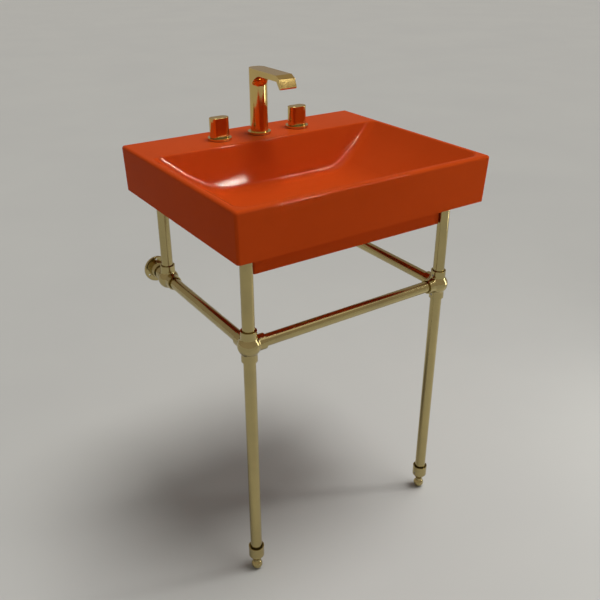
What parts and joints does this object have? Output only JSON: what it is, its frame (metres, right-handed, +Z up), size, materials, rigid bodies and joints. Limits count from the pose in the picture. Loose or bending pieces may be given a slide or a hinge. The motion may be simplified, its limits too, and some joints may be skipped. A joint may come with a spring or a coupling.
{
  "type": "console sink",
  "caption": "Rectangular console sink: glazed ceramic basin held to the wall and carried by a brass tube stand on ball feet, with a widespread faucet and a push drain.",
  "frame": {"origin": "midway between the two wall bolt holes in the basin's back, on the wall face", "axes": "+X right along the wall seen from the front, +Y into the wall, +Z up"},
  "size_m": [0.5996, 0.4948, 1.0365],
  "materials": {
    "ceramic": "glossy orange-red glaze",
    "polished_brass": "polished",
    "satin_brass": "satin polished",
    "raw_brass": "machined, unlacquered",
    "steel": "plain",
    "rubber": "matte",
    "plastic": "moulded"
  },
  "bodies": {
    "sink": {"basin": "ceramic", "spout": "polished_brass", "hot_disc": "polished_brass", "cold_disc": "polished_brass", "spout_disc": "polished_brass", "drain_body": "polished_brass", "aerator": "steel", "set_screws": "steel", "deck_washers": "steel", "post_pads": "rubber", "deck_rings": "rubber", "drain_upper_seal": "rubber", "drain_lower_seal": "rubber", "hot_cartridge": "plastic", "cold_cartridge": "plastic", "stopper_guide": "plastic", "hot_valve": "raw_brass", "cold_valve": "raw_brass", "spout_shank": "raw_brass", "hot_crossover": "raw_brass", "cold_crossover": "raw_brass", "coupling_nuts": "raw_brass", "deck_lock_nuts": "raw_brass", "drain_lock_nut": "raw_brass", "tailpiece": "raw_brass", "front_left_fitting": "satin_brass", "rear_left_fitting": "satin_brass", "front_left_leg": "satin_brass", "front_left_post": "satin_brass", "rear_left_post": "satin_brass", "left_rail": "satin_brass", "left_wall_stub": "satin_brass", "left_wall_flange": "satin_brass", "front_left_foot": "satin_brass", "front_right_fitting": "satin_brass", "rear_right_fitting": "satin_brass", "front_right_leg": "satin_brass", "front_right_post": "satin_brass", "rear_right_post": "satin_brass", "right_rail": "satin_brass", "right_wall_stub": "satin_brass", "right_wall_flange": "satin_brass", "front_right_foot": "satin_brass", "front_rail": "satin_brass"},
    "hot_handle": {"hot_knob": "polished_brass", "hot_spindle": "raw_brass", "hot_knob_screw": "steel"},
    "cold_handle": {"cold_knob": "polished_brass", "cold_spindle": "raw_brass", "cold_knob_screw": "steel"},
    "stopper": {"stopper_cap": "polished_brass", "stopper_seal": "rubber", "stopper_stem": "raw_brass"}
  },
  "joints": [
    {"name": "hot_turn", "type": "hinge", "parent": "sink", "child": "hot_handle", "pos_m": [-0.1016, -0.076, 0.08], "axis": [0, 0, 1], "range_deg": [0, 90]},
    {"name": "cold_turn", "type": "hinge", "parent": "sink", "child": "cold_handle", "pos_m": [0.1016, -0.076, 0.08], "axis": [0, 0, 1], "range_deg": [-90, 0]},
    {"name": "stopper_lift", "type": "slide", "parent": "sink", "child": "stopper", "axis": [0, 0, 1], "range_m": [0, 0.008]}
  ]
}
